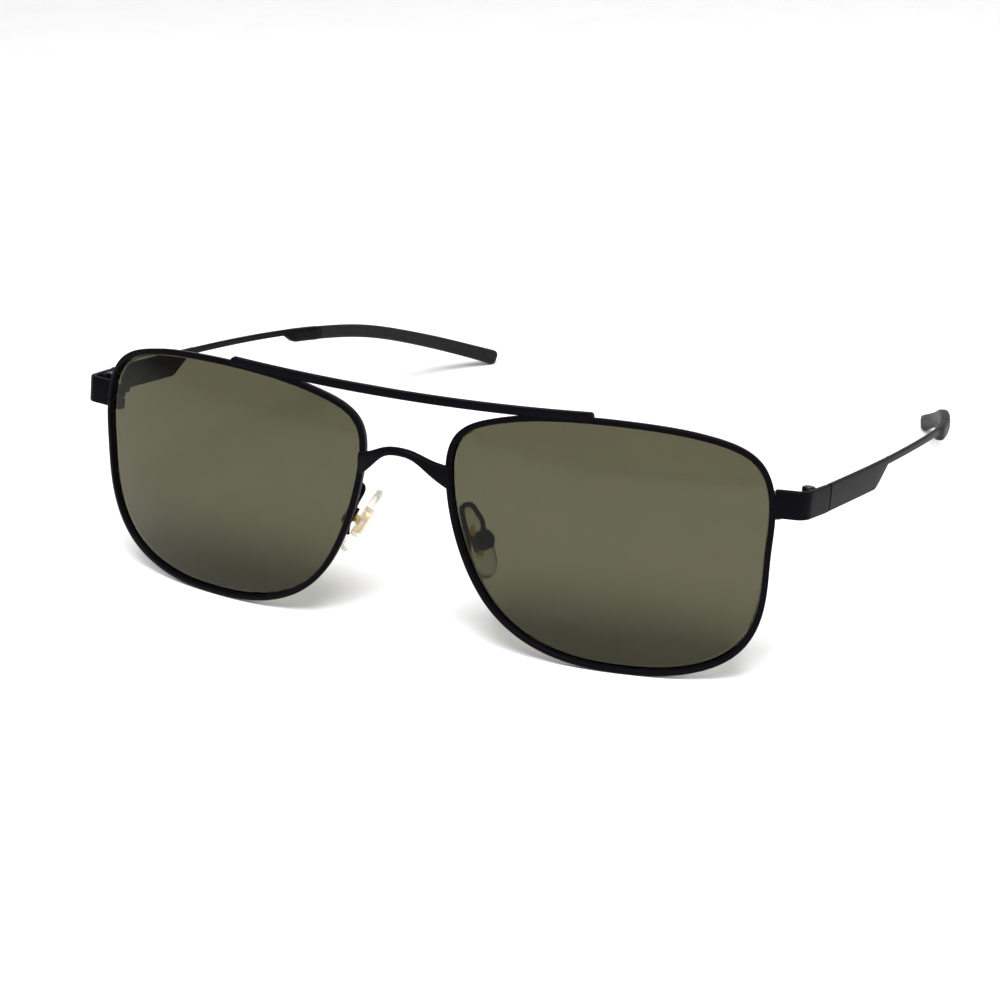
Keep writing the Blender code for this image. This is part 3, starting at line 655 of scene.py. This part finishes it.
def bridge():
    """The arched wire between the rims, flattened and flared where it is soldered to them."""
    distances, heights, halves = zip(*BRIDGE_SHAPE)
    height, half = even(distances, heights), even(distances, halves)
    reach = distances[-1]
    sides = 28
    rings = []
    for x in np.linspace(-reach, reach, 97):
        squareness = np.interp(abs(x), (0, reach), BRIDGE_SQUARENESS)
        y = BRIDGE_Y + BRIDGE_BOW * x * x
        ring = []
        for k in range(sides):
            deep, tall = squarish(2 * math.pi * k / sides, squareness)
            ring.append((x, y + deep * BRIDGE_HALF_DEPTH, height(x) + tall * half(x)))
        rings.append(ring)
    placed(body_of("lower_bridge", 1, [rings]), "front", "bridge", BLACK, 60)


# End piece and hinge


HINGE_AXES = (
    np.array([1.0, 0.0, 0.0]),
    np.array([0.0, math.cos(TEMPLE_SLOPE), -math.sin(TEMPLE_SLOPE)]),
    np.array([0.0, math.sin(TEMPLE_SLOPE), math.cos(TEMPLE_SLOPE)]),
)


def along_hinge(x, y, z):
    """A point given across the hinge, along the temple and up the hinge pin, in the design's axes."""
    return np.array(HINGE_AXIS) + x * HINGE_AXES[0] + y * HINGE_AXES[1] + z * HINGE_AXES[2]


def hinge_brick(place_and_size, radius=0.15, steps=3):
    place, size = place_and_size
    return brick(along_hinge(*place), HINGE_AXES, size, radius, steps)


def strap_path():
    """Plan points of the strap's middle line, and the outward normal at each."""
    start, corner, end = (np.array(p) for p in (STRAP_START, STRAP_CORNER, STRAP_END))
    before, after = unit(corner - start), unit(end - corner)
    half_turn = math.acos(np.clip(before @ after, -1, 1)) / 2
    reach = STRAP_CORNER_RADIUS * math.tan(half_turn)
    centre = corner - reach * before + STRAP_CORNER_RADIUS * np.array([-before[1], before[0]])
    first, last = corner - reach * before, corner + reach * after
    points = [(start + (first - start) * k / 5, before) for k in range(5)]
    for k in range(17):
        turn = 2 * half_turn * k / 16
        c, s = math.cos(turn), math.sin(turn)
        heading = np.array([before[0] * c - before[1] * s, before[0] * s + before[1] * c])
        points.append((centre + STRAP_CORNER_RADIUS * np.array([heading[1], -heading[0]]), heading))
    points += [(last + (end - last) * k / 6, after) for k in range(1, 7)]
    return [(point, np.array([heading[1], -heading[0]])) for point, heading in points]


def strap_top(y):
    """The top edge: level on the front, then down along the temple, with a short blend."""
    past = y - STRAP_CORNER[1]
    soft = 0.5 * (past + math.sqrt(past * past + 0.8))
    return STRAP_TOP - soft * math.tan(TEMPLE_SLOPE)


def end_piece(side, which):
    """The strap from the rim's side round the corner to the seam with the temple."""
    rings = []
    up = HINGE_AXES[2]
    path = strap_path()
    for i, (point, outward) in enumerate(path):
        inset = 0.04 if i in (0, len(path) - 1) else 0.0
        top = np.array([point[0], point[1], strap_top(point[1])])
        middle = top - up * STRAP_HEIGHT / 2
        thick = np.array([outward[0], outward[1], 0.0])
        section = slab(STRAP_THICKNESS - 2 * inset, STRAP_HEIGHT - 2 * inset, STRAP_ROUNDING)
        rings.append([middle + a * thick + b * up for a, b in section])
    placed(body_of(which + "_end_piece", side, [rings]), "front", "end_piece_" + which, BLACK)


def hinge(side, which):
    """Two knuckles on the end piece, one on the temple between them, and the screw through all three."""
    centre = np.array(HINGE_AXIS)
    high = BARREL_HALF_HEIGHT
    room = KNUCKLE_HALF_HEIGHT + GAP
    lofts = []
    for low, top in ((room, high), (-high, -room)):
        lofts.append(barrel(centre, HINGE_AXES, low, top, BARREL_RADIUS))
    place, size = HINGE_ARM
    for middle in ((room + high) / 2, -(room + high) / 2):
        lofts.append(hinge_brick(((*place, middle), (*size, high - room - 0.1))))
    lofts.append(hinge_brick(HINGE_BACK))
    made = body_of(which + "_front_hinge", side, lofts)
    placed(made, "front", "front_hinge_" + which, BLACK)

    knuckle = barrel(centre, HINGE_AXES, -KNUCKLE_HALF_HEIGHT, KNUCKLE_HALF_HEIGHT, BARREL_RADIUS)
    lofts = [knuckle, hinge_brick(HINGE_NECK), hinge_brick(HINGE_LEAF, 0.3, 4)]
    made = body_of(which + "_temple_hinge", side, lofts)
    placed(made, "temple_" + which, "temple_hinge_" + which, BLACK)

    top = high + HINGE_HEAD_RISE
    lofts = [
        barrel(centre, HINGE_AXES, -high + 0.05, high - 0.3, HINGE_SHANK_RADIUS, 0.05, 24),
        barrel(centre, HINGE_AXES, high - 0.35, top, HINGE_HEAD_RADIUS),
    ]
    made = body_of(which + "_hinge_screw", side, lofts)
    slotted(made, side, centre, HINGE_AXES, top, 0.28, 0.22, 2.6)
    placed(made, "front", "hinge_screw_" + which, STEEL)


# Temple and sleeve


temple_x = cubic([p[1] for p in TEMPLE_EDGE], [p[0] for p in TEMPLE_EDGE])
temple_z = cubic([p[1] for p in TEMPLE_EDGE], [p[2] for p in TEMPLE_EDGE])


def temple_frame(y):
    """A point of the temple's top edge, with the directions outwards and up there."""
    here = np.array([temple_x(y), y, temple_z(y)])
    onward = unit([temple_x(y + 0.1) - temple_x(y - 0.1), 0.2, temple_z(y + 0.1) - temple_z(y - 0.1)])
    outward = unit(np.cross(onward, (0, 0, 1)))
    return here, outward, np.cross(outward, onward)


def strip_section(y, height, thickness, radius, out=0.0, inset=0.0):
    """A rounded slab that hangs from the temple's top edge."""
    here, outward, up = temple_frame(y)
    section = slab(thickness - 2 * inset, height - 2 * inset, max(0.03, radius - 0.5 * inset))
    return [here + (out + a) * outward + (b - height / 2) * up for a, b in section]


def plate_sections():
    """The wide plate, which narrows upwards to nothing behind it."""
    first, last = PLATE_END
    yield strip_section(SEAM_Y, PLATE_HEIGHT, PLATE_THICKNESS, PLATE_ROUNDING, 0, 0.04)
    for y in np.linspace(SEAM_Y + 0.05, first - 0.6, 30):
        yield strip_section(y, PLATE_HEIGHT, PLATE_THICKNESS, PLATE_ROUNDING)
    for y in np.linspace(first - 0.4, last, 16):
        past = y - first
        soft = 0.5 * (past + math.sqrt(past * past + 0.25))
        height = max(0.12, PLATE_HEIGHT * (1 - soft / (last - first)))
        yield strip_section(y, height, PLATE_THICKNESS, min(PLATE_ROUNDING, height / 2 - 0.01))


def strip_sections():
    """The narrow strip from inside the plate to the shoulder, and the neck on into the sleeve."""
    recess = -(PLATE_THICKNESS - STRIP_THICKNESS) / 2
    rise, full, end = SHOULDER
    for y in np.linspace(PLATE_END[0] - 2, rise, 40):
        yield strip_section(y, STRIP_HEIGHT, STRIP_THICKNESS, STRIP_ROUNDING, recess)
    for k in range(1, 17):
        share = (1 - math.cos(math.pi * k / 16)) / 2
        height = STRIP_HEIGHT + (SHOULDER_HEIGHT - STRIP_HEIGHT) * share
        thick = STRIP_THICKNESS + (SHOULDER_THICKNESS - STRIP_THICKNESS) * share
        corner = STRIP_ROUNDING + (SHOULDER_ROUNDING - STRIP_ROUNDING) * share
        yield strip_section(rise + (full - rise) * k / 16, height, thick, corner, recess * (1 - share))
    for y in np.linspace(full + 0.5, end - 0.15, 8):
        yield strip_section(y, SHOULDER_HEIGHT, SHOULDER_THICKNESS, SHOULDER_ROUNDING)
    yield strip_section(end, SHOULDER_HEIGHT, SHOULDER_THICKNESS, SHOULDER_ROUNDING, 0, 0.1)
    for y in (end + 0.02, SLEEVE_START + 0.6):
        yield strip_section(y, SHOULDER_HEIGHT, SHOULDER_THICKNESS, SHOULDER_ROUNDING, 0, NECK_INSET)


def temple(side, which):
    made = body_of(which + "_temple", side, [list(plate_sections()), list(strip_sections())])
    placed(made, "temple_" + which, "temple_" + which, BLACK)


def sleeve(side, which):
    """The rubber tip over the ear, with a soft lip where it starts and a rounded square end."""
    end = TEMPLE_EDGE[-1][1]
    heights, widths = (np.array(pairs).T for pairs in (SLEEVE_HEIGHTS, SLEEVE_WIDTHS))

    def ring(y, scale=1.0, sides=36):
        here, outward, up = temple_frame(y)
        middle = here - SHOULDER_HEIGHT / 2 * up
        tall = scale * np.interp(y, *heights) / 2
        wide = scale * np.interp(y, *widths) / 2
        points = []
        for k in range(sides):
            across, rise = squarish(2 * math.pi * (k + 0.5) / sides, SLEEVE_SQUARENESS)
            points.append(middle + across * wide * outward + rise * tall * up)
        return points

    cap, narrowing = SLEEVE_CAP
    rings = [ring(SLEEVE_START + along, scale) for along, scale in SLEEVE_LIP]
    rings += [ring(y) for y in np.linspace(SLEEVE_START + 0.8, end - cap - 0.1, 70)]
    for k in range(1, 8):
        a = math.pi / 2 * k / 7
        rings.append(ring(end - cap * (1 - math.sin(a)), 1 - narrowing * (1 - math.cos(a))))
    made = body_of(which + "_ear_tip", side, [rings])
    placed(made, "temple_" + which, "temple_tip_" + which, RUBBER, 60)


# Nose pads


def pad_axes():
    """Across the pad towards the back, along it upwards, and out of it towards the nose."""
    face = unit(PAD_FACE)
    along = unit(np.array(PAD_ALONG) - (PAD_ALONG @ face) * face)
    return np.cross(face, along), along, face


def pad_point(across, along, out):
    axes = pad_axes()
    return np.array(PAD_CENTRE) + across * axes[0] + along * axes[1] + out * axes[2]


def box_centre():
    return pad_point(0, EYE_ALONG, -BOX_OFFSET)


def screw_axes():
    """The pad's axes in the order that puts the screw along the third, across the pad."""
    across, along, face = pad_axes()
    return along, face, across


def pad_oval(half_length, half_width, out, sides=56):
    """An oval ring, a little narrower towards the top of the pad."""
    ring = []
    for k in range(sides):
        a = 2 * math.pi * k / sides
        across, along = squarish(a, PAD_SQUARENESS)
        width = half_width * (1 - PAD_NARROWING * math.sin(a))
        ring.append(pad_point(across * width, along * half_length, out))
    return ring


def nose_pad(side, which):
    """A soft crowned pad with a pocket in its back that holds the insert."""
    length, width, thick = PAD_LENGTH / 2, PAD_WIDTH / 2, PAD_HALF_THICKNESS
    rings = []
    for k in range(1, 13):
        a = math.pi / 2 * k / 12
        out = -0.25 * thick + 1.25 * thick * math.cos(a) ** 0.8
        rings.append(pad_oval(length * math.sin(a) ** 0.9, width * math.sin(a) ** 0.9, out))
    for k in range(1, 6):
        a = math.pi / 2 * k / 5
        shrink = 1 - 0.07 * (1 - math.cos(a))
        rings.append(pad_oval(length * shrink, width * shrink, -0.25 * thick - 0.75 * thick * math.sin(a)))
    long, wide = PAD_POCKET
    bottom = PAD_POCKET_DEPTH - thick
    rings += [pad_oval(long * share, wide * share, -thick) for share in (1.6, 1.25, 1.04)]
    rings += [pad_oval(long, wide, 0.05 - thick), pad_oval(long, wide, bottom - 0.05)]
    rings.append(pad_oval(long - 0.06, wide - 0.06, bottom))
    made = body_of(which + "_nose_pad", side, [rings])
    placed(made, "pad_" + which, "nose_pad_" + which, PAD, 50)


def pad_insert(side, which):
    """The stamped plate inside the pad, and the eye on its back."""
    length, width = PAD_POCKET[0] - 0.1, PAD_POCKET[1] - 0.1
    top = PAD_POCKET_DEPTH - PAD_HALF_THICKNESS - GAP
    low = top - 2 * INSERT_HALF_THICKNESS
    soft = INSERT_ROUNDING
    levels = ((low + 0.2, soft), (low + 0.2 + soft, 0.0), (top - soft, 0.0), (top, soft))
    plate = [pad_oval(length - inset, width - inset, out, 40) for out, inset in levels]
    reach = BOX_OFFSET + low + 0.55
    sizes = (2 * TAB_HALF_WIDTH, TAB_LENGTH, reach + 0.2)
    tab = brick(pad_point(0, EYE_ALONG, low + 0.1 - reach / 2), pad_axes(), sizes, 0.15)
    made = body_of(which + "_pad_insert", side, [plate, tab])
    placed(made, "pad_" + which, "pad_insert_" + which, GOLD)


def pad_box(side, which):
    """A round cup at the end of the pad arm, slotted for the eye."""
    axes = pad_axes()
    deep = BOX_HALF_DEPTH
    profile = []
    for k in range(9):
        a = math.pi / 2 * k / 8
        inset = BOX_ROUNDING * (1 - math.sin(a))
        profile.append((-deep + BOX_ROUNDING * (1 - math.cos(a)), BOX_RADIUS - inset))
    profile += [(deep - 0.12, BOX_RADIUS), (deep - 0.03, BOX_RADIUS - 0.04), (deep, BOX_RADIUS - 0.12)]
    made = body_of(which + "_pad_box", side, [turning(box_centre(), axes, profile, 48)])
    cut(made, side, block(box_centre() + BOX_SLOT_OUT * axes[2], axes, BOX_SLOT))
    placed(made, "front", "pad_box_" + which, BLACK)


def pad_screw(side, which):
    centre, axes = box_centre(), screw_axes()
    lofts = [
        barrel(centre, axes, -BOX_RADIUS - 0.05, BOX_RADIUS + 0.1, PAD_SHANK_RADIUS, 0.05, 20),
        barrel(centre, axes, BOX_RADIUS - 0.1, PAD_HEAD_TOP, PAD_HEAD_RADIUS, 0.1, 28),
    ]
    made = body_of(which + "_pad_screw", side, lofts)
    slotted(made, side, centre, axes, PAD_HEAD_TOP, 0.2, 0.15, 2.0)
    placed(made, "front", "pad_screw_" + which, STEEL)


def pad_arm(side, which):
    """The bent wire from the back of the rim up, over and down to the pad box."""
    axes = pad_axes()
    end = box_centre() + (BOX_RADIUS - 0.3) * axes[1] - 0.2 * axes[2]
    points = [np.array(point) for point in ARM_ROUTE] + [end]
    spans = np.cumsum([0.0] + [np.linalg.norm(b - a) for a, b in zip(points, points[1:])])
    route = cubic(spans, points)
    extra, foot = ARM_FOOT
    turns = [2 * math.pi * k / 18 for k in range(18)]
    across = np.cross(route(0.05) - route(0.0), (0.3, 1.0, 0.2))
    rings = []
    for s in np.linspace(0, spans[-1], 90):
        heading = unit(route(min(s + 0.05, spans[-1])) - route(max(s - 0.05, 0.0)))
        across = unit(across - (across @ heading) * heading)
        rise = np.cross(across, heading)
        radius = ARM_RADIUS * (1.0 + extra * max(0.0, 1 - s / foot))
        rings.append([route(s) + radius * (math.cos(a) * across + math.sin(a) * rise) for a in turns])
    made = body_of(which + "_pad_arm", side, [rings])
    placed(made, "front", "pad_arm_" + which, BLACK, 60)


# Studio


def floor():
    """A pale sweep: flat under the object, curving up far behind it."""
    bm = bmesh.new()
    profile = [(-3.0, 0.0), (SWEEP_START, 0.0)]
    for k in range(1, 13):
        a = math.pi / 2 * k / 12
        profile.append((SWEEP_START + SWEEP_RADIUS * math.sin(a), SWEEP_RADIUS * (1 - math.cos(a))))
    profile.append((SWEEP_START + SWEEP_RADIUS, 3.0))
    right = np.array([math.cos(CAMERA_AZIMUTH), math.sin(CAMERA_AZIMUTH), 0])
    deep = np.array([-math.sin(CAMERA_AZIMUTH), math.cos(CAMERA_AZIMUTH), 0])
    loops = []
    for along, up in profile:
        middle = along * deep + np.array([0, 0, up])
        loops.append([bm.verts.new(middle + across * right) for across in (-3.5, 3.5)])
    for one, two in zip(loops, loops[1:]):
        bm.faces.new((one[0], one[1], two[1], two[0]))
    mesh = bpy.data.meshes.new("floor")
    bm.to_mesh(mesh)
    bm.free()
    made = bpy.data.objects.new("floor", mesh)
    bpy.context.scene.collection.objects.link(made)
    mesh.shade_smooth()
    finish, tree, shader = nodes_of("pale_paper")
    colour = ramp(tree, noise(tree, 40.0, 3.0), (0.9, 0.9, 0.905), (0.93, 0.93, 0.93))
    tree.links.new(colour, shader.inputs["Base Color"])
    shader.inputs["Roughness"].default_value = 0.8
    shader.inputs["Specular IOR Level"].default_value = 0.2
    mesh.materials.append(finish)


def area(name, place, target, size, power):
    """A white rectangular lamp turned to face the target."""
    data = bpy.data.lights.new(name, "AREA")
    data.shape = "RECTANGLE"
    data.size, data.size_y = size
    data.energy = power
    made = bpy.data.objects.new(name, data)
    made.location = place
    made.rotation_euler = (Vector(place) - Vector(target)).to_track_quat("Z", "Y").to_euler()
    bpy.context.scene.collection.objects.link(made)


def studio():
    floor()
    world = bpy.data.worlds.new("studio")
    world.use_nodes = True
    background = world.node_tree.nodes["Background"]
    background.inputs["Color"].default_value = (1.0, 1.0, 1.0, 1.0)
    background.inputs["Strength"].default_value = 0.42
    bpy.context.scene.world = world
    middle = (cad_low + cad_high) / 2
    area("key", (0.22, -0.55, 0.95), middle, (0.64, 0.52), 17.0)
    area("side", (1.0, 0.1, 0.45), middle, (0.9, 0.7), 6.0)
    bpy.context.scene.view_settings.view_transform = "Standard"


def camera():
    data = bpy.data.cameras.new("camera")
    data.sensor_width = 36.0
    data.lens = CAMERA_LENS
    data.clip_start = 0.01
    data.clip_end = 20.0
    made = bpy.data.objects.new("camera", data)
    a, e = CAMERA_AZIMUTH, CAMERA_ELEVATION
    back = Vector((math.sin(a) * math.cos(e), -math.cos(a) * math.cos(e), math.sin(e)))
    made.location = Vector(CAMERA_TARGET) + back * CAMERA_DISTANCE
    made.rotation_euler = back.to_track_quat("Z", "Y").to_euler()
    bpy.context.scene.collection.objects.link(made)
    bpy.context.scene.camera = made


def main():
    brow_bar()
    bridge()
    for side, which in ((1, "left"), (-1, "right")):
        for build in (rim, lens, rim_lock, end_piece, hinge, temple, sleeve,
                      nose_pad, pad_insert, pad_box, pad_screw, pad_arm):
            build(side, which)
    studio()
    camera()


main()
